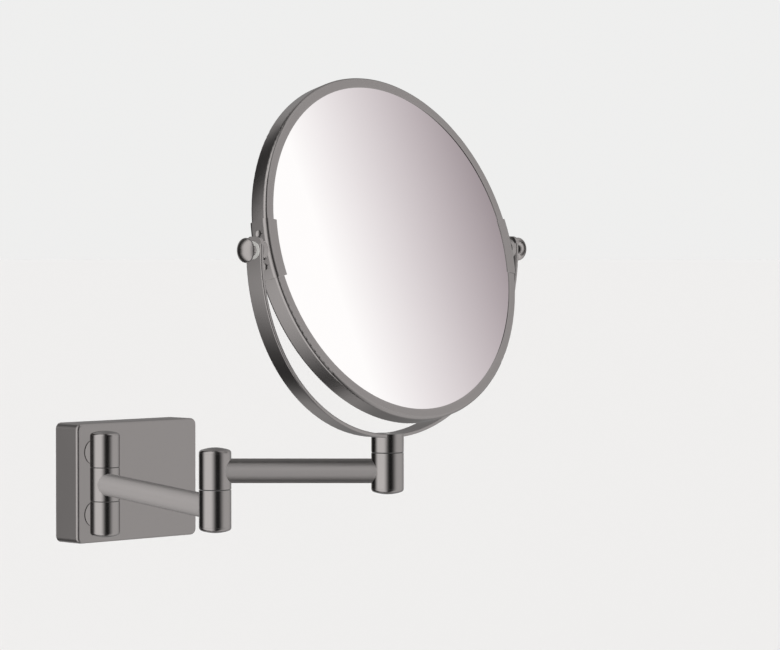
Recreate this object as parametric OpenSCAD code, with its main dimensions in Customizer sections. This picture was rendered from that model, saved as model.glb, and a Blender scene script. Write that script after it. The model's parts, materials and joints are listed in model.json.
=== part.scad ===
// Wall-mounted shaving mirror on a double swing arm.
// The wall is the plane y = 0 and the object stands out along -Y; +Z is up.
// The origin is the centre of the wall bracket's back face.

/* [Wall cover] */
// Width of the cover, left to right
cover_w = 99; // [92:1:120]
// Height of the cover
cover_h = 75; // [74:1:90]
// Depth of the cover, off the wall
cover_d = 21.5; // [20:0.5:28]
// Radius of the cover's corners, seen from the front
cover_corner_r = 4; // [3.5:0.5:8]
// Radius of the cover's front edge
cover_edge_r = 1.8; // [0.5:0.1:2]
// Sheet thickness of the cover
cover_wall = 1.5; // [1.2:0.1:1.8]
// Distance from the cover's left edge to the wall pivot
pivot_inset = 13.4; // [12:0.1:30]
// Height of the two rosettes above and below the cover's middle
post_height = 19.5; // [19:0.5:22]
// Diameter of the rosettes, where the wall knuckles meet the cover
rosette_d = 16; // [12:0.5:16.5]

/* [Pivots] */
// Diameter of the upright pivot knuckles
knuckle_d = 18.5; // [18:0.5:22]
// Distance from an arm's centre line to the joint ring of its knuckle
arm_to_ring = 10.6; // [10:0.1:12]
// Distance from the outer arm's centre line to the far ends of its knuckles
arm_to_end = 13.3; // [13:0.1:15]
// Distance from the inner arm's centre line to the far end of its elbow knuckle
elbow_to_end = 14.2; // [13:0.1:16]
// Height of the fixed knuckles on the wall, without their caps
wall_knuckle_h = 19.2; // [19:0.1:22]
// Gap between two knuckles, where the bush flange shows
ring_gap = 0.5; // [0.4:0.1:0.8]
// Height of the domed end caps
cap_h = 3.2; // [2.6:0.1:4]
// Diameter of the pivot pins
pin_d = 8; // [7:0.5:8]

/* [Arms] */
// Length of the inner arm, pivot to pivot
inner_arm_l = 199.5; // [160:0.5:260]
// Length of the outer arm, pivot to pivot
outer_arm_l = 98; // [80:0.5:105]
// Diameter of the arm tubes
arm_d = 14; // [12:0.5:14]
// Wall of the arm tubes
arm_wall = 1.5; // [1:0.25:2]

/* [Mirror] */
// Outer diameter of the mirror's rim
rim_d = 200; // [180:1:210]
// Depth of the rim, front to back
rim_depth = 12.4; // [12:0.2:14]
// Width of the flat lip around each glass
lip_w = 5.9; // [5:0.1:7]
// Sheet thickness of the rim
rim_wall = 0.7; // [0.6:0.1:1.2]
// Radius of curvature of the concave magnifying glass
concave_r = 1100; // [1000:50:1600]
// Length of the side clips, along the rim
clip_l = 33.5; // [28:0.5:40]

/* [Yoke] */
// Clearance between the rim and the yoke
yoke_gap = 4.4; // [3.4:0.1:6]
// Thickness of the yoke's band
band_t = 2.2; // [2:0.1:3]
// Width of the yoke's band, front to back
band_w = 11.8; // [11:0.2:14]
// Height of the stem under the yoke
stem_h = 8.2; // [7.8:0.1:14]
// Diameter of the two pivot knobs
knob_d = 13.6; // [12.6:0.1:15]
// Height of the two pivot knobs
knob_h = 8.8; // [7:0.1:10]

/* [Pose] */
// Swing of the inner arm from straight out; positive swings right
inner_arm_swing = -21.8; // [-90:0.1:90]
// Swing of the outer arm from straight out; positive swings right
outer_arm_swing = 45; // [-180:0.5:180]
// Swing of the yoke from facing straight out; positive swings right
yoke_swing = 1.9; // [-180:0.1:180]
// Tilt of the mirror from upright; positive looks up
mirror_tilt = 15; // [-180:0.5:180]

/* [Hidden] */
$fn = 96;
smooth = 360;    // facets of the large circles

// Colours
metal = [0.50, 0.48, 0.47];
steel = [0.72, 0.72, 0.70];
nylon = [0.12, 0.11, 0.11];
silver = [0.93, 0.93, 0.95];
foam = [0.80, 0.80, 0.76];

// Clearances
slip = 0.1;     // thin gap between parts that are assembled by hand
turn = 0.05;    // radial clearance of a turning fit
loose = 0.3;    // radial clearance of a plain hole

// Knuckles and their pivot fittings, measured from the middle of the joint ring
knuckle_r = knuckle_d / 2;
half_gap = ring_gap / 2;
pin_r = pin_d / 2;
thread_r = 3;          // threaded end of a pivot pin
bush_r = 5.5;          // outside of a bush
bush_l = 12;           // length of a bush, without its flange
flange_t = ring_gap - slip;
flange_r = knuckle_r - 0.5;
fitting_r = 6.6;       // counterbore that holds the spring and the nut
spring_t = 0.8;
nut_h = 4;
nut_flats = 10;
fittings_h = spring_t + nut_h + 2 * slip;
cap_spigot_h = 1.6;
cap_edge_r = 2;
cap_z = arm_to_ring + arm_to_end - cap_h;
elbow_cap_z = arm_to_ring + elbow_to_end - cap_h;
shoulder_z = cap_z - cap_spigot_h - fittings_h;
pin_tail = 18;         // length of pin in the fixed knuckle

// Places along the arms
head_ring_z = 3 * arm_to_ring;
wall_axis_x = -cover_w / 2 + pivot_inset;
post_neck = 1.3;        // free length of a post, between knuckle and cover
wall_axis_y = -cover_d - post_neck - knuckle_r;
middle_h = 2 * (arm_to_ring - half_gap);
wall_cap_z = arm_to_ring + half_gap + wall_knuckle_h;
wall_pin_reach = wall_cap_z - cap_spigot_h - fittings_h;

// Wall fittings
cover_back = 0.4;       // gap between the cover's open edge and the wall
bracket_t = 2;
bracket_w = cover_w - 15;
bracket_h = cover_h - 2 * (cover_wall + loose);
bracket_corner_r = 3;
flange_w = 60;
flange_reach = 13;
wall_hole_r = 2.75;
wall_hole_x = 30;
bar_t = 3;
bar_w = 16;
bar_h = 58;
post_r = 3.5;
rosette_t = 1;
post_screw_r = 2.5;
post_screw_l = 10;
post_screw_socket = 3;  // across flats
post_head_r = 4.75;
post_head_h = 2.75;
set_screw_r = 2;
set_screw_l = 8;
set_screw_y = -9;
set_screw_socket = 2;   // across flats
set_screw_sink = 0.3;
tap_extra = 0.5;        // depth of a tapped hole past the end of its screw

// Mirror head, measured from the middle of the tilt axis
rim_r = rim_d / 2;
half_rim = rim_depth / 2;
rim_edge_r = 1.9;
lip_r = rim_r - lip_w;
channel_r = rim_r - rim_wall;
channel_y = half_rim - rim_wall;
seal_t = 0.2;
glass_grip = 1.9;       // overlap of a glass and the lip that holds it
glass_r = lip_r + glass_grip;
glass_y = channel_y - seal_t;
plain_t = 2.5;
concave_t = 2;
concave_centre = glass_y + sqrt(pow(concave_r, 2) - pow(glass_r, 2));
foam_inner_r = 88;
foam_outer_r = glass_r - 0.5;
foam_start_y = -glass_y + plain_t + turn;
foam_end_y = concave_centre - sqrt(pow(concave_r + concave_t, 2) - pow(foam_inner_r, 2)) - turn;
clip_t = 0.8;
clip_overhang = 1.5;
clip_angle = asin(clip_l / 2 / rim_r);
clip_outer_r = rim_r + clip_t;
dimple_z = 9.75;
dimple_r = 2.1;
dimple_depth = 0.45;
plate_t = 2.4;
plate_w = 8.4;
plate_h = 14;
plate_x = channel_r - loose - plate_t;
tilt_thread_r = 2;
shoulder_r = 3;

// Yoke
band_in_r = rim_r + yoke_gap;
band_out_r = band_in_r + band_t;
tilt_axis_z = head_ring_z + half_gap + stem_h + band_out_r;
eye_h = 15;
eye_corner_r = 4;
stem_screw_r = 2;
stem_screw_head_r = 4;
stem_screw_l = 6;
stem_screw_socket = 2.5;  // across flats
stem_screw_sink = 0.1;
socket_depth = 1.6;
stem_pin_top = stem_h - 1;
spacer_r = 6;
wave_r = 5;
wave_t = 0.5;
knob_edge_r = 4;
knob_dome_h = 5;

// ---- Frames of the moving bodies -------------------------------------------

module at_wall_pivot() translate([wall_axis_x, wall_axis_y, 0]) children();

module at_inner_arm() at_wall_pivot() rotate([0, 0, inner_arm_swing]) children();

module at_elbow()
  at_inner_arm()
    translate([0, -inner_arm_l, arm_to_ring])
      rotate([0, 0, outer_arm_swing - inner_arm_swing]) children();

module at_head_pivot()
  at_elbow() translate([0, -outer_arm_l, head_ring_z - arm_to_ring])
    rotate([0, 0, yoke_swing - outer_arm_swing]) children();

module at_mirror_axis()
  at_head_pivot() translate([0, 0, tilt_axis_z - head_ring_z]) children();

module at_mirror() at_mirror_axis() rotate([-mirror_tilt, 0, 0]) children();

// Turns a shape made along +Z so that it runs out of the wall, along -Y
module facing_out() rotate([90, 0, 0]) children();

// Turns a shape made along +Z so that it runs along +X, or -X for side = -1
module facing_side(side) rotate([0, 90 * side, 0]) children();

// ---- Shared shapes ----------------------------------------------------------

module rounded_rect(w, h, r) {
  square([w - 2 * r, h], center = true);
  square([w, h - 2 * r], center = true);
  for (sx = [-1, 1], sy = [-1, 1])
    translate([sx * (w / 2 - r), sy * (h / 2 - r)]) circle(r = r);
}

// Slab with rounded corners and a rounded top edge
module soft_slab(w, h, d, corner_r, edge_r) {
  linear_extrude(d - edge_r) rounded_rect(w, h, corner_r);
  linear_extrude(d) rounded_rect(w - 2 * edge_r, h - 2 * edge_r, corner_r - edge_r);
  for (s = [-1, 1]) {
    translate([0, s * (h / 2 - edge_r), d - edge_r]) rotate([0, 90, 0])
      cylinder(r = edge_r, h = w - 2 * corner_r, center = true);
    translate([s * (w / 2 - edge_r), 0, d - edge_r]) rotate([90, 0, 0])
      cylinder(r = edge_r, h = h - 2 * corner_r, center = true);
  }
  for (sx = [-1, 1], sy = [-1, 1])
    translate([sx * (w / 2 - corner_r), sy * (h / 2 - corner_r), d - edge_r])
      rotate_extrude() translate([corner_r - edge_r, 0]) circle(r = edge_r);
}

// Hexagonal recess in the end of a screw, from z = 0 upwards
module hex_socket(flats)
  translate([0, 0, -1]) cylinder(r = flats / 2 / cos(30), h = socket_depth + 1, $fn = 6);

module ring(outer_r, inner_r, h)
  difference() {
    cylinder(r = outer_r, h = h);
    translate([0, 0, -1]) cylinder(r = inner_r, h = h + 2);
  }

// Half outline of a shallow dome of radius r and height h, whose edge is an arc
// of radius edge that meets the dome without a crease
module dome_outline(r, h, edge) {
  dome_r = (pow(r - edge, 2) + h * h - edge * edge) / (2 * (h - edge));
  span = dome_r - edge;
  meet_x = (r - edge) * dome_r / span;
  meet_y = (dome_r - h) * (dome_r / span - 1);
  intersection() {
    translate([0, h - dome_r]) circle(r = dome_r, $fn = smooth);
    polygon([[0, 0], [0, h + 1], [meet_x, h + 1], [meet_x, meet_y], [r - edge, 0]]);
  }
  intersection() {
    translate([r - edge, 0]) circle(r = edge);
    square([r, h]);
  }
}

// Domed cap with a spigot that plugs the bore below it
module end_cap() {
  rotate_extrude() dome_outline(knuckle_r, cap_h, cap_edge_r);
  translate([0, 0, -cap_spigot_h]) cylinder(r = fitting_r - turn, h = cap_spigot_h);
}

// Free knuckle: the joint ring is at z = 0, and the nut end is up
module free_knuckle()
  difference() {
    translate([0, 0, half_gap]) cylinder(r = knuckle_r, h = cap_z - half_gap);
    translate([0, 0, -1]) cylinder(r = bush_r, h = half_gap + bush_l + 1);
    cylinder(r = pin_r + loose, h = cap_z + 1);
    translate([0, 0, shoulder_z]) cylinder(r = fitting_r, h = cap_z);
  }

// Fixed knuckle under the joint ring, which holds the tail of the pin
module fixed_knuckle()
  difference() {
    translate([0, 0, -elbow_cap_z]) cylinder(r = knuckle_r, h = elbow_cap_z - half_gap);
    translate([0, 0, -pin_tail]) cylinder(r = pin_r, h = pin_tail + 1);
    translate([0, 0, -elbow_cap_z - 1]) cylinder(r = fitting_r, h = cap_spigot_h + slip + 1);
  }

// Flanged bush, pressed into the free knuckle; its flange shows in the ring
module flanged_bush() {
  translate([0, 0, half_gap]) ring(bush_r, pin_r + turn, bush_l);
  translate([0, 0, half_gap - flange_t]) ring(flange_r, pin_r + turn, flange_t);
}

// Pin with a threaded end; tail is its length below the ring, reach its length
// above the ring up to the spring
module pivot_pin(tail, reach) {
  translate([0, 0, -tail]) cylinder(r = pin_r, h = tail + reach + spring_t);
  cylinder(r = thread_r, h = reach + spring_t + slip + nut_h);
}

// Disc spring: a shallow cone that the nut presses against the shoulder
module disc_spring(z)
  translate([0, 0, z + slip / 2])
    difference() {
      cylinder(r1 = fitting_r - 2 * slip, r2 = fitting_r - spring_t, h = spring_t);
      translate([0, 0, -1]) cylinder(r = pin_r + 2 * slip, h = spring_t + 2);
    }

module lock_nut(z)
  translate([0, 0, z + spring_t + slip])
    difference() {
      cylinder(r = nut_flats / 2 / cos(30), h = nut_h, $fn = 6);
      translate([0, 0, -1]) cylinder(r = thread_r + turn, h = nut_h + 2);
    }

// Arm tube that runs along -Y between the knuckles at its two ends
module arm_tube(length)
  difference() {
    facing_out() cylinder(r = arm_d / 2, h = length);
    facing_out() cylinder(r = arm_d / 2 - arm_wall, h = length);
    for (y = [0, -length])
      translate([0, y, 0]) cylinder(r = knuckle_r, h = 2 * arm_d, center = true);
  }

// ---- Wall unit ---------------------------------------------------------------

// Steel plate on the wall, with a flange along its top and its bottom edge
module wall_bracket() color(steel)
  difference() {
    union() {
      facing_out() linear_extrude(bracket_t)
        rounded_rect(bracket_w, bracket_h, bracket_corner_r);
      for (s = [-1, 1])
        translate([0, -flange_reach / 2, s * (bracket_h - bracket_t) / 2])
          cube([flange_w, flange_reach, bracket_t], center = true);
    }
    for (s = [-1, 1])
      translate([s * wall_hole_x, 1, 0])
        facing_out() cylinder(r = wall_hole_r, h = bracket_t + 2);
    translate([0, set_screw_y, -bracket_h / 2 - 1]) cylinder(r = set_screw_r, h = bracket_t + 2);
  }

// Sheet cover, open towards the wall
module wall_cover() color(metal)
  difference() {
    translate([0, -cover_back, 0]) facing_out()
      soft_slab(cover_w, cover_h, cover_d - cover_back, cover_corner_r, cover_edge_r);
    translate([0, 1, 0]) facing_out()
      linear_extrude(cover_d - cover_wall + 1)
        rounded_rect(cover_w - 2 * cover_wall, cover_h - 2 * cover_wall, cover_corner_r - cover_wall);
    for (s = [-1, 1])
      translate([wall_axis_x, 0, s * post_height])
        facing_out() cylinder(r = post_r + slip, h = cover_d + 1);
    translate([0, set_screw_y, -cover_h / 2 - 1])
      cylinder(r = set_screw_r + 2 * slip, h = cover_wall + 2);
  }

// Grub screw that locks the cover to the bracket's lower flange
module cover_set_screw() color(steel)
  translate([0, set_screw_y, -cover_h / 2 + set_screw_sink])
    difference() {
      cylinder(r = set_screw_r - turn, h = set_screw_l);
      hex_socket(set_screw_socket);
    }

// Bar behind the cover's face that the two posts are screwed to
module backing_bar() color(steel)
  translate([wall_axis_x, -cover_d + cover_wall, 0])
    difference() {
      translate([-bar_w / 2, 0, -bar_h / 2]) cube([bar_w, bar_t, bar_h]);
      for (s = [-1, 1])
        translate([0, bar_t + 1, s * post_height])
          facing_out() cylinder(r = post_screw_r + 2 * slip, h = bar_t + 2);
    }

module post_screw()
  difference() {
    union() {
      cylinder(r = post_head_r, h = post_head_h);
      cylinder(r = post_screw_r - turn, h = post_head_h + post_screw_l);
    }
    hex_socket(post_screw_socket);
  }

module post_screws() color(steel)
  for (s = [-1, 1])
    translate([wall_axis_x, -cover_d + cover_wall + bar_t + post_head_h, s * post_height])
      facing_out() post_screw();

// Post from the knuckle's axis through the cover's face, with its rosette
module post() {
  axis_to_face = -wall_axis_y - cover_d;
  rotate([-90, 0, 0]) {
    cylinder(r = post_r, h = axis_to_face + cover_wall);
    translate([0, 0, axis_to_face - rosette_t]) cylinder(r = rosette_d / 2, h = rosette_t);
  }
}

// Fixed knuckle above (side = 1) or below (side = -1) the inner arm
module wall_knuckle(side)
  at_wall_pivot()
    difference() {
      union() {
        translate([0, 0, side > 0 ? arm_to_ring + half_gap : -wall_cap_z])
          cylinder(r = knuckle_r, h = wall_knuckle_h);
        translate([0, 0, side * post_height]) post();
      }
      cylinder(r = pin_r, h = 2 * (wall_pin_reach + 1), center = true);
      translate([0, 0, side > 0 ? wall_pin_reach : -wall_cap_z - 1])
        cylinder(r = fitting_r, h = side > 0 ? wall_knuckle_h : cap_spigot_h + slip + 1);
      translate([0, -wall_axis_y - cover_d + cover_wall, side * post_height])
        facing_out() cylinder(r = post_screw_r, h = post_screw_l - bar_t + tap_extra);
    }

module upper_wall_knuckle() color(metal) wall_knuckle(1);

module lower_wall_knuckle() color(metal) wall_knuckle(-1);

module wall_pin() color(steel)
  at_wall_pivot() pivot_pin(wall_pin_reach, wall_pin_reach);

module wall_disc_spring() color(steel) at_wall_pivot() disc_spring(wall_pin_reach);

module wall_lock_nut() color(steel) at_wall_pivot() lock_nut(wall_pin_reach);

module wall_upper_cap() color(metal)
  at_wall_pivot() translate([0, 0, wall_cap_z]) end_cap();

module wall_lower_cap() color(metal)
  at_wall_pivot() translate([0, 0, -wall_cap_z]) rotate([180, 0, 0]) end_cap();

// ---- Inner arm -----------------------------------------------------------------

module middle_wall_knuckle() color(metal)
  at_inner_arm()
    difference() {
      cylinder(r = knuckle_r, h = middle_h, center = true);
      cylinder(r = bush_r, h = middle_h + 2, center = true);
    }

module wall_bushes() color(nylon)
  at_inner_arm()
    for (s = [0, 180])
      rotate([s, 0, 0]) {
        translate([0, 0, slip]) ring(bush_r, pin_r + turn, middle_h / 2 - slip);
        translate([0, 0, middle_h / 2]) ring(flange_r, pin_r + turn, flange_t);
      }

module inner_arm_tube() color(metal) at_inner_arm() arm_tube(inner_arm_l);

module elbow_lower_knuckle() color(metal) at_elbow() fixed_knuckle();

module elbow_lower_cap() color(metal)
  at_elbow() translate([0, 0, -elbow_cap_z]) rotate([180, 0, 0]) end_cap();

module elbow_pin() color(steel) at_elbow() pivot_pin(pin_tail, shoulder_z);

module elbow_disc_spring() color(steel) at_elbow() disc_spring(shoulder_z);

module elbow_lock_nut() color(steel) at_elbow() lock_nut(shoulder_z);

// ---- Outer arm -----------------------------------------------------------------

module elbow_upper_knuckle() color(metal) at_elbow() free_knuckle();

module elbow_bush() color(nylon) at_elbow() flanged_bush();

module elbow_upper_cap() color(metal) at_elbow() translate([0, 0, cap_z]) end_cap();

module outer_arm_tube() color(metal)
  at_elbow() translate([0, 0, arm_to_ring]) arm_tube(outer_arm_l);

// The head knuckle hangs under its joint ring, with its nut end down
module under_head_ring() at_head_pivot() rotate([180, 0, 0]) children();

module head_knuckle() color(metal) under_head_ring() free_knuckle();

module head_bush() color(nylon) under_head_ring() flanged_bush();

module head_lower_cap() color(metal)
  under_head_ring() translate([0, 0, cap_z]) end_cap();

// ---- Yoke ----------------------------------------------------------------------

// Stem that stands on the joint ring; the band lies in the notch in its top
module yoke_stem() color(metal)
  difference() {
    at_head_pivot() translate([0, 0, half_gap])
      cylinder(r = knuckle_r, h = stem_h + band_t);
    at_mirror_axis() rotate([90, 0, 0])
      cylinder(r = band_out_r, h = band_w, center = true, $fn = smooth);
    at_head_pivot() cylinder(r = pin_r, h = half_gap + stem_pin_top);
    at_head_pivot() cylinder(r = stem_screw_r, h = stem_h + band_t);
  }

// Half hoop under the mirror; its ends are the eyes for the tilt pivots
module yoke_band() color(metal)
  difference() {
    at_mirror_axis() {
      rotate([90, 0, 0])
        rotate_extrude(angle = 180, start = 180, $fn = smooth) band_section();
      intersection() {
        rotate([90, 0, 0]) rotate_extrude($fn = smooth) band_section();
        rotate([0, 90, 0])
          linear_extrude(2 * band_out_r + 2, center = true)
            rounded_rect(eye_h, band_w, eye_corner_r);
      }
    }
    at_mirror_axis() rotate([0, 90, 0])
      cylinder(r = shoulder_r + turn, h = 2 * band_out_r + 2, center = true);
    at_head_pivot() stem_screw_shape(slip);
  }

module band_section() translate([band_in_r, -band_w / 2]) square([band_t, band_w]);

// Countersunk screw, flush with the inside of the band; gap widens it for a hole
module stem_screw_shape(gap) {
  head_z = half_gap + stem_h + band_t - stem_screw_sink;
  head_h = stem_screw_head_r - stem_screw_r;
  translate([0, 0, head_z - stem_screw_l])
    cylinder(r = stem_screw_r - turn + gap, h = stem_screw_l + 2 * gap);
  translate([0, 0, head_z - head_h])
    cylinder(r1 = stem_screw_r + gap, r2 = stem_screw_head_r + gap, h = head_h + gap);
}

module stem_screw() color(steel)
  at_head_pivot()
    difference() {
      stem_screw_shape(0);
      translate([0, 0, half_gap + stem_h + band_t - stem_screw_sink])
        rotate([180, 0, 0]) hex_socket(stem_screw_socket);
    }

module head_pin() color(steel)
  difference() {
    under_head_ring() pivot_pin(half_gap + stem_pin_top, shoulder_z);
    at_head_pivot() cylinder(r = stem_screw_r, h = stem_h + band_t);
  }

module head_disc_spring() color(steel) under_head_ring() disc_spring(shoulder_z);

module head_lock_nut() color(steel) under_head_ring() lock_nut(shoulder_z);

// ---- Mirror head ----------------------------------------------------------------

// Filled outline of the rim's section from radius inner_r outwards, grown by grow
module rim_outline(inner_r, grow) {
  edge_r = rim_edge_r + grow;
  outer_r = rim_r + grow;
  half = half_rim + grow;
  translate([inner_r, -half]) square([outer_r - edge_r - inner_r, 2 * half]);
  translate([inner_r, edge_r - half]) square([outer_r - inner_r, 2 * (half - edge_r)]);
  for (s = [-1, 1])
    translate([outer_r - edge_r, s * (half - edge_r)]) circle(r = edge_r);
}

// Section of the rim: a sheet channel, open towards the middle, with rounded corners
module rim_section()
  difference() {
    rim_outline(lip_r, 0);
    rim_outline(lip_r - 1, -rim_wall);
  }

module rim_half(start)
  at_mirror()
    difference() {
      rotate([90, 0, 0])
        rotate_extrude(angle = 180, start = start, $fn = smooth) rim_section();
      rotate([0, 90, 0])
        cylinder(r = tilt_thread_r + loose, h = 2 * rim_r + 2, center = true);
    }

module rim_upper_half() color(metal) rim_half(0);

module rim_lower_half() color(metal) rim_half(180);

// Section of a side clip: it grips the rim from the side, front and back
module clip_section()
  difference() {
    rim_outline(lip_r - clip_overhang, clip_t);
    rim_outline(lip_r - clip_overhang - 1, 0);
  }

module side_clip(side) {
  start = (side > 0 ? 0 : 180) - clip_angle;
  at_mirror()
    difference() {
      rotate([90, 0, 0])
        rotate_extrude(angle = 2 * clip_angle, start = start, $fn = smooth) clip_section();
      rotate([0, 90, 0])
        cylinder(r = tilt_thread_r + loose, h = 2 * clip_outer_r + 2, center = true);
      for (s = [-1, 1]) dimple(side, s);
    }
}

// Round dimple that is pressed into the side of a clip
module dimple(side, s) {
  ball_r = (pow(dimple_r, 2) + pow(dimple_depth, 2)) / (2 * dimple_depth);
  surface_x = sqrt(pow(clip_outer_r, 2) - pow(dimple_z, 2));
  translate([side * (surface_x + ball_r - dimple_depth), 0, s * dimple_z]) sphere(r = ball_r);
}

module left_clip() color(metal) side_clip(-1);

module right_clip() color(metal) side_clip(1);

module plain_glass() color(silver)
  at_mirror() translate([0, -glass_y + plain_t, 0])
    facing_out() cylinder(r = glass_r, h = plain_t, $fn = smooth);

// Circle whose middle is on the mirror's axis, in front of the concave glass
module sphere_outline(r) translate([0, concave_centre]) circle(r = r, $fn = 4 * smooth);

module magnifying_glass() color(silver)
  at_mirror() rotate([-90, 0, 0]) rotate_extrude($fn = smooth)
    intersection() {
      difference() {
        sphere_outline(concave_r + concave_t);
        sphere_outline(concave_r);
      }
      translate([0, -glass_y]) square([glass_r, 2 * glass_y]);
    }

// Foam ring that keeps the edges of the two glasses apart
module glass_spacer() color(foam)
  at_mirror() translate([0, foam_end_y, 0]) facing_out()
    ring(foam_outer_r, foam_inner_r, foam_end_y - foam_start_y, $fn = smooth);

// Rubber ring between a lip and its glass, in front (side = -1) or behind
module glass_seal(side)
  at_mirror() translate([0, side * (channel_y - seal_t / 2), 0]) rotate([90, 0, 0])
    translate([0, 0, -seal_t / 2]) ring(glass_r, lip_r + 2 * slip, seal_t, $fn = smooth);

module front_seal() color(nylon) glass_seal(-1);

module back_seal() color(nylon) glass_seal(1);

// Threaded plate inside the rim, behind each clip
module thread_plate(side)
  at_mirror()
    difference() {
      translate([side * (plate_x + plate_t / 2), 0, 0])
        cube([plate_t, plate_w, plate_h], center = true);
      rotate([0, 90, 0]) cylinder(r = tilt_thread_r, h = 2 * rim_r, center = true);
    }

module left_thread_plate() color(steel) thread_plate(-1);

module right_thread_plate() color(steel) thread_plate(1);

// Spacer between a clip and the eye of the yoke
module spacer(side) {
  inner_x = clip_outer_r + slip;
  outer_x = sqrt(pow(band_in_r, 2) - pow(spacer_r, 2)) - slip;
  at_mirror() facing_side(side) translate([0, 0, inner_x])
    ring(spacer_r, shoulder_r + turn, outer_x - inner_x);
}

module left_spacer() color(metal) spacer(-1);

module right_spacer() color(metal) spacer(1);

// Spring washer in the recess under a knob
module wave_washer(side)
  at_mirror() facing_side(side) translate([0, 0, band_out_r + slip / 2])
    ring(wave_r - slip, shoulder_r + turn, wave_t);

module left_wave_washer() color(steel) wave_washer(-1);

module right_wave_washer() color(steel) wave_washer(1);

// Domed knob with the shouldered screw that is the tilt pivot
module knob(side)
  at_mirror() facing_side(side) {
    translate([0, 0, band_out_r + slip / 2])
      difference() {
        rotate_extrude() {
          square([knob_d / 2, knob_h - knob_dome_h]);
          translate([0, knob_h - knob_dome_h])
            dome_outline(knob_d / 2, knob_dome_h, knob_edge_r);
        }
        translate([0, 0, -1]) cylinder(r = wave_r, h = 1 + wave_t + slip);
      }
    translate([0, 0, clip_outer_r + slip])
      cylinder(r = shoulder_r, h = band_out_r - clip_outer_r + 1);
    translate([0, 0, plate_x + slip])
      cylinder(r = tilt_thread_r - turn, h = clip_outer_r - plate_x + 1);
  }

module left_knob() color(metal) knob(-1);

module right_knob() color(metal) knob(1);

// ---- Drawing ---------------------------------------------------------------------

wall_bracket();
wall_cover();
cover_set_screw();
backing_bar();
post_screws();
upper_wall_knuckle();
lower_wall_knuckle();
wall_pin();
wall_disc_spring();
wall_lock_nut();
wall_upper_cap();
wall_lower_cap();
middle_wall_knuckle();
wall_bushes();
inner_arm_tube();
elbow_lower_knuckle();
elbow_lower_cap();
elbow_pin();
elbow_disc_spring();
elbow_lock_nut();
elbow_upper_knuckle();
elbow_bush();
elbow_upper_cap();
outer_arm_tube();
head_knuckle();
head_bush();
head_lower_cap();
yoke_stem();
yoke_band();
stem_screw();
head_pin();
head_disc_spring();
head_lock_nut();
rim_upper_half();
rim_lower_half();
left_clip();
right_clip();
plain_glass();
magnifying_glass();
glass_spacer();
front_seal();
back_seal();
left_thread_plate();
right_thread_plate();
left_spacer();
right_spacer();
left_wave_washer();
right_wave_washer();
left_knob();
right_knob();
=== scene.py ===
"""Shaving mirror on a double swing arm: the looks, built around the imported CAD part.

The outer CAD nodes come back as pieces in the frame of their own pivot, so that grain and
highlights follow the way each part was turned or brushed. The plain glass and the inner
nodes keep their own mesh and only take a material.
"""
import json
import math

import bmesh
import bpy
from mathutils import Matrix, Vector

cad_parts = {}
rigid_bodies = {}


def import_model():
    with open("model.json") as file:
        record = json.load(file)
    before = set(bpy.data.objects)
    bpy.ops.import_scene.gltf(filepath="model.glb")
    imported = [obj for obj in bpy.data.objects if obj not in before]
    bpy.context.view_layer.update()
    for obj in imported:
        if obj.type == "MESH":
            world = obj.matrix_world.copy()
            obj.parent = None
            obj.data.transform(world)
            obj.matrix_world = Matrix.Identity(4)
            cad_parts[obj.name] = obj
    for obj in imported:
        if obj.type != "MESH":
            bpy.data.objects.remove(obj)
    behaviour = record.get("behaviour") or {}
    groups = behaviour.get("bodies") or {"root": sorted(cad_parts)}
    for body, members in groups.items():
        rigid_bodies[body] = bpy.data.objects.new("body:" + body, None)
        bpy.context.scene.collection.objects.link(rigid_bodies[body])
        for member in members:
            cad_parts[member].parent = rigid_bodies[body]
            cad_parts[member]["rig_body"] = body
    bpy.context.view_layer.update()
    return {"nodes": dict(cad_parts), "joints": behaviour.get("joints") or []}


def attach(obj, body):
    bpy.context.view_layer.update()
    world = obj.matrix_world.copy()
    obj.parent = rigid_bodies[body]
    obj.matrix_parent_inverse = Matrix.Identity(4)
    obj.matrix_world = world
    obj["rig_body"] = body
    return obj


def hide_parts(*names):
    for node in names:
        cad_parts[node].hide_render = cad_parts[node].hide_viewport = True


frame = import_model()

MM = 0.001
JOINTS = {joint["name"]: joint for joint in frame["joints"]}
WALL_PIVOT = Vector(JOINTS["wall_swing"]["pos_m"])
ELBOW = Vector(JOINTS["elbow_swing"]["pos_m"])
HEAD_PIVOT = Vector(JOINTS["head_swivel"]["pos_m"])
TILT_CENTRE = Vector(JOINTS["mirror_tilt"]["pos_m"])
TILT_AXIS = Vector(JOINTS["mirror_tilt"]["axis"]).normalized()
MIRROR_TILT = math.radians(15)
BAND_WIDTH = 11.8
KNOB_HEIGHT = 8.8
CONCAVE_R = 1100

# The camera stands to the left of the mirror, about level with its centre, and looks down a little
CAMERA_AZIMUTH = math.radians(44.89)
CAMERA_PITCH = math.radians(1.55)
CAMERA_DISTANCE = 1.904
CAMERA_AIM = HEAD_PIVOT + Vector((0.001, -0.001, 0.0723))
CAMERA_REACH = 200.0
FOCAL_LENGTH = 154.8

FLOOR_Z = -0.16
FLOOR_RADIUS = 40.0

# Both lights: how wide the light spreads and how far it leans, in degrees
OVERHEAD_STRENGTH, OVERHEAD_SPREAD, OVERHEAD_LEAN = 1.2, 80, (12, -14)
STRIP_STRENGTH, STRIP_SPREAD, STRIP_LEAN = 2.5, 140, 81

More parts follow.
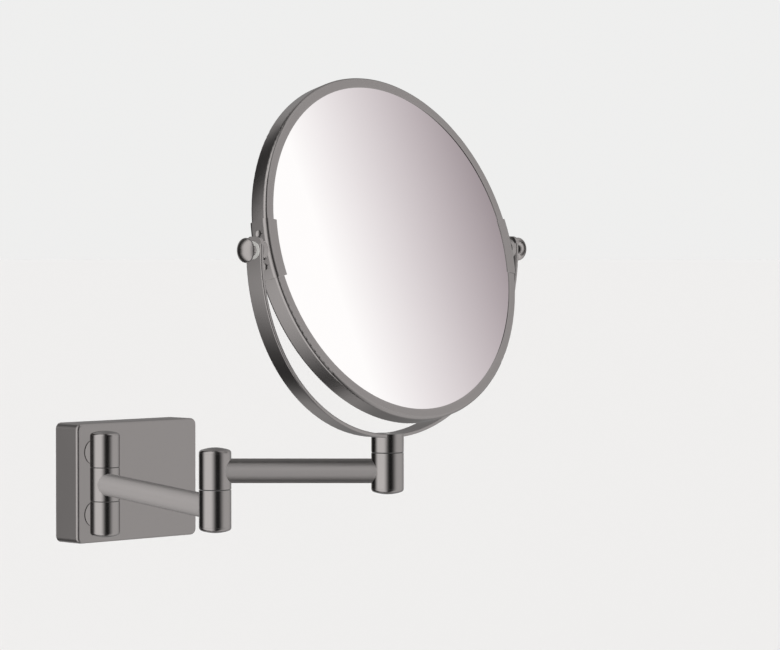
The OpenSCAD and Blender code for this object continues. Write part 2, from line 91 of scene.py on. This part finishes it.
# Panels of the studio, in degrees round the object from the side where the camera stands.
# Positive angles are to the camera's right. Each pair says where a change starts and ends.
LEFT_RISE, LEFT_FALL, LEFT_STRENGTH = (-103, -66), (-30, 13), 1.6
LEFT_FLARE, LEFT_FLARE_HEIGHTS = 7, (4, 16)
BACK_FALL, BACK_STRENGTH = (-152, -134), 0.78
BACK_DIP, BACK_DIP_DEPTH = (-178, -160), 0.38
RIGHT_RISE, RIGHT_STRENGTH = (29, 76), 1.03
RIGHT_FALLS = (((110, 150), 0.35), ((160, 178), 0.25))
POLE_HEIGHTS, POLE_STRENGTH = (66, 84), 0.15
STUDIO_FLOOR = 0.03

# The graded band in the right panel that the front glass shows: slant is degrees per degree of rise
FADE_START, FADE_END, FADE_HEIGHTS = (95.1, 98.4), (98.8, 99.8), (6, 15)
FADE_DEPTH, FADE_SLANT = 0.73, 0.067
STUDIO_COLOUR = (1.0, 0.985, 0.98, 1.0)
FADE_COLOUR = (1.0, 0.86, 0.912, 1.0)
BACKDROP_COLOUR = (0.86, 0.86, 0.855, 1.0)

# Angles and distances that decide how a copied mesh is cleaned, bevelled and shaded
WELD_DISTANCE = 0.004 * MM
FLAT_ANGLE = math.radians(0.4)
BEVEL_ANGLE = math.radians(35)
SHADE_ANGLE = math.radians(40)
TURNED_SHADE_ANGLE = math.radians(50)
TURNED_SIDES = 128
FLOOR_SIDES = 128


# ---- Frames of the pieces: local Z is the axis that a piece is turned or brushed round ----

def upright_frame(place):
    return Matrix.Translation(place)


def frame_along(place, direction):
    return Matrix.Translation(place) @ direction.to_track_quat("Z", "Y").to_matrix().to_4x4()


def arm_frame(start, end):
    """Frame at an arm's first pivot, its Z axis level and pointing to the arm's other pivot."""
    return frame_along(start, Vector((end.x, end.y, 0)) - Vector((start.x, start.y, 0)))


UP = Vector((0, 0, 1))
MIRROR_FRONT = (Matrix.Rotation(-MIRROR_TILT, 3, TILT_AXIS) @ TILT_AXIS.cross(UP)).normalized()

WALL_FRAME = upright_frame(WALL_PIVOT)
PLATE_FRAME = Matrix.Identity(4)
ELBOW_FRAME = upright_frame(ELBOW)
HEAD_FRAME = upright_frame(HEAD_PIVOT)
INNER_ARM_FRAME = arm_frame(WALL_PIVOT, ELBOW)
OUTER_ARM_FRAME = arm_frame(ELBOW, HEAD_PIVOT)
YOKE_FRAME = frame_along(TILT_CENTRE, TILT_AXIS.cross(UP))
MIRROR_FRAME = frame_along(TILT_CENTRE, MIRROR_FRONT)
KNOB_FRAME = frame_along(TILT_CENTRE, TILT_AXIS)


# ---- Materials ---------------------------------------------------------------------------

def new_material(name):
    material = bpy.data.materials.new(name)
    material.use_nodes = True
    return material, material.node_tree, material.node_tree.nodes["Principled BSDF"]


def node(tree, kind, **values):
    made = tree.nodes.new(kind)
    for key, value in values.items():
        if hasattr(made, key):
            setattr(made, key, value)
        else:
            made.inputs[key].default_value = value
    return made


def calc(tree, operation, first, second=None):
    made = tree.nodes.new("ShaderNodeMath")
    made.operation = operation
    for socket, value in zip(made.inputs, (first, second)):
        if value is None:
            continue
        if isinstance(value, bpy.types.NodeSocket):
            tree.links.new(value, socket)
        else:
            socket.default_value = value
    return made.outputs[0]


def ramp_between(tree, value, low, high, out_low=0.0, out_high=1.0, smooth=True):
    made = tree.nodes.new("ShaderNodeMapRange")
    made.interpolation_type = "SMOOTHSTEP" if smooth else "LINEAR"
    tree.links.new(value, made.inputs["Value"])
    for key, number in (("From Min", low), ("From Max", high), ("To Min", out_low), ("To Max", out_high)):
        made.inputs[key].default_value = number
    return made.outputs["Result"]


def turned_coordinates(tree):
    """The place in the piece's own frame, its three parts, and its distance from local Z."""
    place = tree.nodes.new("ShaderNodeTexCoord").outputs["Object"]
    split = tree.nodes.new("ShaderNodeSeparateXYZ")
    tree.links.new(place, split.inputs[0])
    x, y, z = split.outputs
    squares = calc(tree, "ADD", calc(tree, "MULTIPLY", x, x), calc(tree, "MULTIPLY", y, y))
    return place, x, y, z, calc(tree, "SQRT", squares)


def brushed_metal(name, colour, roughness, anisotropy=0.0, flat=False):
    """Satin metal with fine lines round its local Z axis, or along X where flat is true."""
    material, tree, shader = new_material(name)
    place, x, y, z, radius = turned_coordinates(tree)
    across = tree.nodes.new("ShaderNodeCombineXYZ")
    slow, fast, grain_scale, haze_scale = 120.0, 9000.0, 2600.0, 28.0
    tone_change, worn_gain, worn_share = 0.02, 1.45, 0.2
    line_roughness, haze_roughness = 0.02, 0.04
    if flat:
        parts = (calc(tree, "MULTIPLY", x, slow), calc(tree, "MULTIPLY", y, fast),
                 calc(tree, "MULTIPLY", z, fast))
    else:
        parts = (calc(tree, "MULTIPLY", radius, fast),
                 calc(tree, "MULTIPLY", calc(tree, "ADD", x, y), slow),
                 calc(tree, "MULTIPLY", z, fast))
    for socket, value in zip(across.inputs, parts):
        tree.links.new(value, socket)
    lines = node(tree, "ShaderNodeTexNoise", Scale=1.0, Detail=3.0, Roughness=0.6)
    tree.links.new(across.outputs[0], lines.inputs["Vector"])
    grain = node(tree, "ShaderNodeTexNoise", Scale=grain_scale, Detail=2.0, Roughness=0.6)
    tree.links.new(place, grain.inputs["Vector"])
    haze = node(tree, "ShaderNodeTexNoise", Scale=haze_scale, Detail=4.0, Roughness=0.55)
    tree.links.new(place, haze.inputs["Vector"])
    wear = tree.nodes.new("ShaderNodeNewGeometry").outputs["Pointiness"]
    edge = ramp_between(tree, wear, 0.53, 0.60)

    tone = node(tree, "ShaderNodeMix", data_type="RGBA")
    tone.inputs[6].default_value = [c * (1 - tone_change) for c in colour] + [1.0]
    tone.inputs[7].default_value = [c * (1 + tone_change) for c in colour] + [1.0]
    both = calc(tree, "ADD", lines.outputs["Fac"], haze.outputs["Fac"])
    tree.links.new(calc(tree, "MULTIPLY", both, 0.5), tone.inputs[0])
    worn = node(tree, "ShaderNodeMix", data_type="RGBA")
    worn.inputs[7].default_value = [min(1.0, c * worn_gain) for c in colour] + [1.0]
    tree.links.new(tone.outputs[2], worn.inputs[6])
    tree.links.new(calc(tree, "MULTIPLY", edge, worn_share), worn.inputs[0])
    tree.links.new(worn.outputs[2], shader.inputs["Base Color"])

    lowest = roughness - (line_roughness + haze_roughness) / 2
    rough = calc(tree, "ADD", calc(tree, "MULTIPLY", lines.outputs["Fac"], line_roughness), lowest)
    rough = calc(tree, "ADD", rough, calc(tree, "MULTIPLY", haze.outputs["Fac"], haze_roughness))
    tree.links.new(rough, shader.inputs["Roughness"])
    height = calc(tree, "ADD", calc(tree, "MULTIPLY", lines.outputs["Fac"], 0.7),
                  calc(tree, "MULTIPLY", grain.outputs["Fac"], 0.5))
    bump = node(tree, "ShaderNodeBump", Strength=0.02, Distance=0.00001)
    tree.links.new(height, bump.inputs["Height"])
    tree.links.new(bump.outputs[0], shader.inputs["Normal"])
    shader.inputs["Metallic"].default_value = 1.0
    shader.inputs["Specular Tint"].default_value = (0.7, 0.7, 0.7, 1.0)
    if anisotropy:
        shader.inputs["Anisotropic"].default_value = anisotropy
        shader.inputs["Anisotropic Rotation"].default_value = 0.25
    return material


def grainy(name, colour, roughness, grain_size, bump_height):
    """Moulded or foamed material with a fine all-round grain."""
    tone_change, gloss_change = 0.2, 0.08
    material, tree, shader = new_material(name)
    place = tree.nodes.new("ShaderNodeTexCoord").outputs["Object"]
    grain = node(tree, "ShaderNodeTexNoise", Scale=1.0 / grain_size, Detail=4.0, Roughness=0.6)
    tree.links.new(place, grain.inputs["Vector"])
    tone = node(tree, "ShaderNodeMix", data_type="RGBA")
    tone.inputs[6].default_value = [c * (1 - tone_change) for c in colour] + [1.0]
    tone.inputs[7].default_value = [min(1.0, c * (1 + tone_change)) for c in colour] + [1.0]
    tree.links.new(grain.outputs["Fac"], tone.inputs[0])
    tree.links.new(tone.outputs[2], shader.inputs["Base Color"])
    rough = ramp_between(tree, grain.outputs["Fac"], 0.3, 0.7,
                         roughness - gloss_change, roughness + gloss_change)
    tree.links.new(rough, shader.inputs["Roughness"])
    bump = node(tree, "ShaderNodeBump", Strength=0.5, Distance=bump_height)
    tree.links.new(grain.outputs["Fac"], bump.inputs["Height"])
    tree.links.new(bump.outputs[0], shader.inputs["Normal"])
    return material


def silvered_glass():
    """Silvered glass, all but clean: a faint haze of wiping changes its gloss a little."""
    material, tree, shader = new_material("mirror_glass")
    place = tree.nodes.new("ShaderNodeTexCoord").outputs["Object"]
    haze = node(tree, "ShaderNodeTexNoise", Scale=22.0, Detail=5.0, Roughness=0.6)
    tree.links.new(place, haze.inputs["Vector"])
    rough = ramp_between(tree, haze.outputs["Fac"], 0.45, 0.75, 0.0, 0.035)
    tree.links.new(rough, shader.inputs["Roughness"])
    tint = node(tree, "ShaderNodeMix", data_type="RGBA")
    tint.inputs[6].default_value = (0.93, 0.925, 0.925, 1.0)
    tint.inputs[7].default_value = (0.95, 0.945, 0.945, 1.0)
    tree.links.new(haze.outputs["Fac"], tint.inputs[0])
    tree.links.new(tint.outputs[2], shader.inputs["Base Color"])
    shader.inputs["Metallic"].default_value = 1.0
    return material


def pale_floor():
    """Matt pale floor of one tone; only its roughness varies a little."""
    material, tree, shader = new_material("pale_floor")
    place = tree.nodes.new("ShaderNodeTexCoord").outputs["Object"]
    cloud = node(tree, "ShaderNodeTexNoise", Scale=0.6, Detail=2.0)
    tree.links.new(place, cloud.inputs["Vector"])
    rough = ramp_between(tree, cloud.outputs["Fac"], 0.3, 0.7, 0.80, 0.84)
    tree.links.new(rough, shader.inputs["Roughness"])
    shader.inputs["Base Color"].default_value = (0.80, 0.80, 0.795, 1.0)
    shader.inputs["Specular IOR Level"].default_value = 0.0
    return material


DARK_METAL = (0.285, 0.272, 0.268)
ZINC = (0.62, 0.62, 0.60)
METAL_TURNED = brushed_metal("satin_turned", DARK_METAL, 0.23, anisotropy=0.5)
METAL_ARM = brushed_metal("satin_arm", DARK_METAL, 0.58, anisotropy=1.0)
METAL_FLAT = brushed_metal("satin_flat", DARK_METAL, 0.38, flat=True)
METAL_RIM = brushed_metal("satin_rim", DARK_METAL, 0.28)
STEEL = brushed_metal("zinc_plated", ZINC, 0.36)
NYLON = grainy("black_nylon", (0.02, 0.019, 0.019), 0.5, 0.0004, 0.00003)
RUBBER = grainy("black_rubber", (0.018, 0.018, 0.018), 0.75, 0.0003, 0.00003)
FOAM = grainy("grey_foam", (0.42, 0.42, 0.40), 0.9, 0.0012, 0.0003)
GLASS = silvered_glass()


# ---- Pieces --------------------------------------------------------------------------------

def long_edges(half_width):
    """Picks the two pairs of edges that run along a band of the given half width."""
    def pick(edge):
        return all(abs(abs(end.co.z) - half_width) < 0.01 * MM for end in edge.verts)
    return pick


def softened(name, place, material, edge=0.2, steps=2, pick=None):
    """A piece that stands for a CAD node: the same shape in the frame place, its sharp edges
    broken by edge mm. Where pick is given, only the edges that it picks are broken.
    """
    source = frame["nodes"][name]
    mesh = bmesh.new()
    mesh.from_mesh(source.data)
    mesh.transform(place.inverted())
    bmesh.ops.remove_doubles(mesh, verts=mesh.verts, dist=WELD_DISTANCE)
    bmesh.ops.dissolve_limit(mesh, angle_limit=FLAT_ANGLE, verts=mesh.verts, edges=mesh.edges)
    if edge:
        sharp = [e for e in mesh.edges if len(e.link_faces) == 2 and e.calc_face_angle(0) > BEVEL_ANGLE]
        if pick:
            sharp = [e for e in sharp if pick(e)]
        bmesh.ops.bevel(mesh, geom=sharp, offset=edge * MM, offset_type="OFFSET", segments=steps,
                        profile=0.5, affect="EDGES", clamp_overlap=not pick)
    for face in mesh.faces:
        face.smooth = True
    data = bpy.data.meshes.new(name + "_piece")
    mesh.to_mesh(data)
    mesh.free()
    data.set_sharp_from_angle(angle=SHADE_ANGLE)
    piece = bpy.data.objects.new(name + "_piece", data)
    bpy.context.scene.collection.objects.link(piece)
    piece.matrix_world = place
    normals = piece.modifiers.new("normals", "WEIGHTED_NORMAL")
    normals.keep_sharp = True
    normals.weight = 80
    data.materials.append(material)
    # Satin parts this close together would otherwise mirror one another as black patches
    piece.visible_glossy = name == "wall_cover"
    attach(piece, source["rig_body"])
    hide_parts(name)
    return piece


def turned_piece(name, place, outline, material):
    """A piece that stands for a CAD node, turned round the Z axis of place from (radius, height) points."""
    around = TURNED_SIDES
    mesh = bmesh.new()
    rings = []
    for radius, height in outline:
        if radius < 1e-7:
            rings.append([mesh.verts.new((0, 0, height))])
        else:
            rings.append([mesh.verts.new((radius * math.cos(math.tau * k / around),
                                          radius * math.sin(math.tau * k / around), height))
                          for k in range(around)])
    for low, high in zip(rings, rings[1:]):
        for k in range(around):
            corners = [low[k % len(low)], low[(k + 1) % len(low)],
                       high[(k + 1) % len(high)], high[k % len(high)]]
            mesh.faces.new(list(dict.fromkeys(corners)))
    bmesh.ops.recalc_face_normals(mesh, faces=mesh.faces)
    for face in mesh.faces:
        face.smooth = True
    data = bpy.data.meshes.new(name + "_piece")
    mesh.to_mesh(data)
    mesh.free()
    data.set_sharp_from_angle(angle=TURNED_SHADE_ANGLE)
    data.materials.append(material)
    piece = bpy.data.objects.new(name + "_piece", data)
    bpy.context.scene.collection.objects.link(piece)
    piece.matrix_world = place
    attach(piece, frame["nodes"][name]["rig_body"])
    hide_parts(name)
    return piece


def local_points(name, place):
    """Corners of a CAD node's mesh, seen in the frame place."""
    inverse = place.inverted()
    return [inverse @ vertex.co for vertex in frame["nodes"][name].data.vertices]


def arc(steps, start, end):
    return [math.radians(start + (end - start) * step / steps) for step in range(steps + 1)]


def knob_outline(name, side):
    """Domed head on a neck that flares up to it, from the inner end of the screw to the dome's top."""
    heights = [side * point.z for point in local_points(name, KNOB_FRAME)]
    inner, outer = min(heights), max(heights)
    seat = outer - KNOB_HEIGHT * MM
    head_r, neck_r, dome_h, edge_r = 6.8 * MM, 2.2 * MM, 3.0 * MM, 0.2 * MM
    straight_neck, dome_inset = 0.6 * MM, 0.06 * MM
    back = outer - dome_h - 2 * edge_r
    start = seat + straight_neck
    ball_r = (head_r ** 2 + dome_h ** 2) / (2 * dome_h)
    slope = math.degrees(math.asin((head_r - dome_inset) / ball_r))
    outline = [(0, inner), (neck_r, inner), (neck_r, seat)]
    flare_r, flare_h = head_r - edge_r - neck_r, back - start
    outline += [(neck_r + flare_r * (1 - math.cos(t)), start + flare_h * math.sin(t)) for t in arc(12, 0, 90)]
    outline += [(head_r - edge_r + edge_r * math.cos(t), back + edge_r + edge_r * math.sin(t))
                for t in arc(6, -75, 45)]
    outline += [(ball_r * math.sin(t), outer - ball_r * (1 - math.cos(t))) for t in arc(16, slope, 0)]
    return [(radius, side * height) for radius, height in outline]


def concave_outline():
    """Concave glass of even thickness: from the middle of its hollow face, round the edge and back."""
    points = local_points("magnifying_glass", MIRROR_FRAME)
    edge_r = max(math.hypot(point.x, point.y) for point in points)
    edge_z = min(point.z for point in points)
    hollow_r, glass_t = CONCAVE_R * MM, 2 * MM
    centre_z = edge_z - math.sqrt(hollow_r ** 2 - edge_r ** 2)
    steps = 24
    radii = [edge_r * step / steps for step in range(steps + 1)]
    hollow = [(r, centre_z + math.sqrt(hollow_r ** 2 - r ** 2)) for r in radii]
    other = [(r, centre_z + math.sqrt((hollow_r + glass_t) ** 2 - r ** 2)) for r in reversed(radii)]
    return hollow + other


def dress(name, material):
    """A CAD node whose shape is right keeps its mesh and takes the material."""
    shown = frame["nodes"][name]
    shown.data.materials.clear()
    shown.data.materials.append(material)
    shown.visible_glossy = material == GLASS


for name in ("upper_wall_knuckle", "lower_wall_knuckle", "middle_wall_knuckle"):
    softened(name, WALL_FRAME, METAL_TURNED, edge=0.15)
for name in ("elbow_lower_knuckle", "elbow_upper_knuckle"):
    softened(name, ELBOW_FRAME, METAL_TURNED, edge=0.15)
softened("head_knuckle", HEAD_FRAME, METAL_TURNED, edge=0.15)
softened("yoke_stem", HEAD_FRAME, METAL_TURNED, edge=0.15)
ARMS = [softened("inner_arm_tube", INNER_ARM_FRAME, METAL_ARM, edge=0),
        softened("outer_arm_tube", OUTER_ARM_FRAME, METAL_ARM, edge=0)]
softened("wall_cover", PLATE_FRAME, METAL_FLAT, edge=0.2)
softened("yoke_band", YOKE_FRAME, METAL_RIM, edge=0.7, steps=5, pick=long_edges(BAND_WIDTH / 2 * MM))
softened("left_clip", MIRROR_FRAME, METAL_RIM, edge=0.15)
softened("right_clip", MIRROR_FRAME, METAL_RIM, edge=0.15)
softened("rim_upper_half", MIRROR_FRAME, METAL_RIM, edge=0)
softened("rim_lower_half", MIRROR_FRAME, METAL_RIM, edge=0)
for name, side in (("left_knob", -1), ("right_knob", 1)):
    knob = turned_piece(name, KNOB_FRAME, knob_outline(name, side), METAL_RIM)
    knob.visible_glossy = False
turned_piece("magnifying_glass", MIRROR_FRAME, concave_outline(), GLASS)
for name in ("wall_upper_cap", "wall_lower_cap"):
    softened(name, WALL_FRAME, METAL_TURNED, edge=0)
for name in ("elbow_upper_cap", "elbow_lower_cap"):
    softened(name, ELBOW_FRAME, METAL_TURNED, edge=0)
softened("head_lower_cap", HEAD_FRAME, METAL_TURNED, edge=0)

KEPT = {
    "steel": ["wall_bracket", "cover_set_screw", "backing_bar", "post_screws", "wall_pin", "wall_disc_spring",
              "wall_lock_nut", "elbow_pin", "elbow_disc_spring", "elbow_lock_nut", "stem_screw", "head_pin",
              "head_disc_spring", "head_lock_nut", "left_thread_plate", "right_thread_plate",
              "left_wave_washer", "right_wave_washer"],
    "nylon": ["wall_bushes", "elbow_bush", "head_bush"],
    "satin": ["left_spacer", "right_spacer"],
    "rubber": ["front_seal", "back_seal"],
    "foam": ["glass_spacer"],
    "glass": ["plain_glass"],
}
FINISH = {"satin": METAL_RIM, "steel": STEEL, "nylon": NYLON, "rubber": RUBBER, "foam": FOAM, "glass": GLASS}
for finish, names in KEPT.items():
    for name in names:
        dress(name, FINISH[finish])


# ---- Floor, light and camera ------------------------------------------------------------------

def make_floor():
    mesh = bmesh.new()
    bmesh.ops.create_circle(mesh, cap_ends=True, segments=FLOOR_SIDES, radius=FLOOR_RADIUS)
    data = bpy.data.meshes.new("floor")
    mesh.to_mesh(data)
    mesh.free()
    floor = bpy.data.objects.new("floor", data)
    bpy.context.scene.collection.objects.link(floor)
    floor.location.z = FLOOR_Z
    floor.visible_glossy = False
    data.materials.append(pale_floor())


def make_overhead_light():
    """Wide soft light from above, which the floor sees and the polished parts don't."""
    data = bpy.data.lights.new("overhead", "SUN")
    data.energy = OVERHEAD_STRENGTH
    data.angle = math.radians(OVERHEAD_SPREAD)
    lamp = bpy.data.objects.new("overhead", data)
    bpy.context.scene.collection.objects.link(lamp)
    lamp.rotation_euler = (math.radians(OVERHEAD_LEAN[0]), math.radians(OVERHEAD_LEAN[1]), 0)
    lamp.visible_glossy = False


def make_strip_light():
    """Tall soft light beside the camera that falls on the two arms alone."""
    data = bpy.data.lights.new("strip", "SUN")
    data.energy = STRIP_STRENGTH
    data.angle = math.radians(STRIP_SPREAD)
    lamp = bpy.data.objects.new("strip", data)
    bpy.context.scene.collection.objects.link(lamp)
    lamp.rotation_euler = (math.radians(STRIP_LEAN), 0, -CAMERA_AZIMUTH)
    lit = bpy.data.collections.new("arms")
    for arm in ARMS:
        lit.objects.link(arm)
    lamp.light_linking.receiver_collection = lit


def make_studio():
    """Soft light from all round, in tall panels with dark gaps between them."""
    world = bpy.data.worlds.new("studio")
    bpy.context.scene.world = world
    world.use_nodes = True
    tree = world.node_tree
    tree.nodes.clear()
    direction = tree.nodes.new("ShaderNodeTexCoord").outputs["Generated"]
    split = tree.nodes.new("ShaderNodeSeparateXYZ")
    tree.links.new(direction, split.inputs[0])
    x, y, z = split.outputs
    sin_a, cos_a = math.sin(CAMERA_AZIMUTH), math.cos(CAMERA_AZIMUTH)
    right = calc(tree, "SUBTRACT", calc(tree, "MULTIPLY", x, cos_a), calc(tree, "MULTIPLY", y, sin_a))
    near = calc(tree, "ADD", calc(tree, "MULTIPLY", x, -sin_a), calc(tree, "MULTIPLY", y, -cos_a))
    angle = calc(tree, "MULTIPLY", calc(tree, "ARCTAN2", right, near), math.degrees(1))
    rise = calc(tree, "MULTIPLY", calc(tree, "ARCSINE", z), math.degrees(1))

    flare = ramp_between(tree, calc(tree, "ABSOLUTE", rise), *LEFT_FLARE_HEIGHTS, 0, LEFT_FLARE)
    left_panel = calc(tree, "SUBTRACT", ramp_between(tree, calc(tree, "ADD", angle, flare), *LEFT_RISE),
                      ramp_between(tree, angle, *LEFT_FALL))
    left_panel = calc(tree, "MULTIPLY", left_panel, LEFT_STRENGTH)
    back_panel = calc(tree, "SUBTRACT", ramp_between(tree, angle, *BACK_FALL, BACK_STRENGTH, 0),
                      ramp_between(tree, angle, *BACK_DIP, BACK_DIP_DEPTH, 0))
    right_panel = ramp_between(tree, angle, *RIGHT_RISE)
    for angles, drop in RIGHT_FALLS:
        right_panel = calc(tree, "SUBTRACT", right_panel, ramp_between(tree, angle, *angles, 0, drop))
    slanted = calc(tree, "ADD", angle, calc(tree, "MULTIPLY", rise, -FADE_SLANT))
    fade = ramp_between(tree, slanted, *FADE_START, 0.0, FADE_DEPTH, smooth=False)
    fade = calc(tree, "MULTIPLY", fade, ramp_between(tree, slanted, *FADE_END, 1, 0))
    fade = calc(tree, "MULTIPLY", fade, ramp_between(tree, rise, *FADE_HEIGHTS))
    right_panel = calc(tree, "MULTIPLY", right_panel, calc(tree, "SUBTRACT", RIGHT_STRENGTH, fade))
    light = calc(tree, "ADD", left_panel, calc(tree, "ADD", right_panel, back_panel))
    pole = ramp_between(tree, calc(tree, "ABSOLUTE", rise), *POLE_HEIGHTS, 1.0, POLE_STRENGTH)
    light = calc(tree, "ADD", calc(tree, "MULTIPLY", light, pole), STUDIO_FLOOR)

    tint = node(tree, "ShaderNodeMix", data_type="RGBA")
    tint.inputs[6].default_value = STUDIO_COLOUR
    tint.inputs[7].default_value = FADE_COLOUR
    tree.links.new(calc(tree, "DIVIDE", fade, FADE_DEPTH), tint.inputs[0])
    studio = tree.nodes.new("ShaderNodeBackground")
    tree.links.new(tint.outputs[2], studio.inputs["Color"])
    tree.links.new(light, studio.inputs["Strength"])
    backdrop = node(tree, "ShaderNodeBackground", Color=BACKDROP_COLOUR, Strength=1.0)
    seen = tree.nodes.new("ShaderNodeLightPath").outputs["Is Camera Ray"]
    mix = tree.nodes.new("ShaderNodeMixShader")
    tree.links.new(seen, mix.inputs[0])
    tree.links.new(studio.outputs[0], mix.inputs[1])
    tree.links.new(backdrop.outputs[0], mix.inputs[2])
    out = tree.nodes.new("ShaderNodeOutputWorld")
    tree.links.new(mix.outputs[0], out.inputs["Surface"])
    bpy.context.scene.view_settings.view_transform = "Standard"


def make_camera():
    data = bpy.data.cameras.new("camera")
    data.lens = FOCAL_LENGTH
    data.clip_end = CAMERA_REACH
    camera = bpy.data.objects.new("camera", data)
    bpy.context.scene.collection.objects.link(camera)
    level = math.cos(CAMERA_PITCH)
    look = Vector((math.sin(CAMERA_AZIMUTH) * level, math.cos(CAMERA_AZIMUTH) * level,
                   -math.sin(CAMERA_PITCH)))
    camera.location = CAMERA_AIM - look * CAMERA_DISTANCE
    camera.rotation_euler = look.to_track_quat("-Z", "Y").to_euler()
    bpy.context.scene.camera = camera


make_floor()
make_overhead_light()
make_strip_light()
make_studio()
make_camera()

bpy.context.view_layer.update()
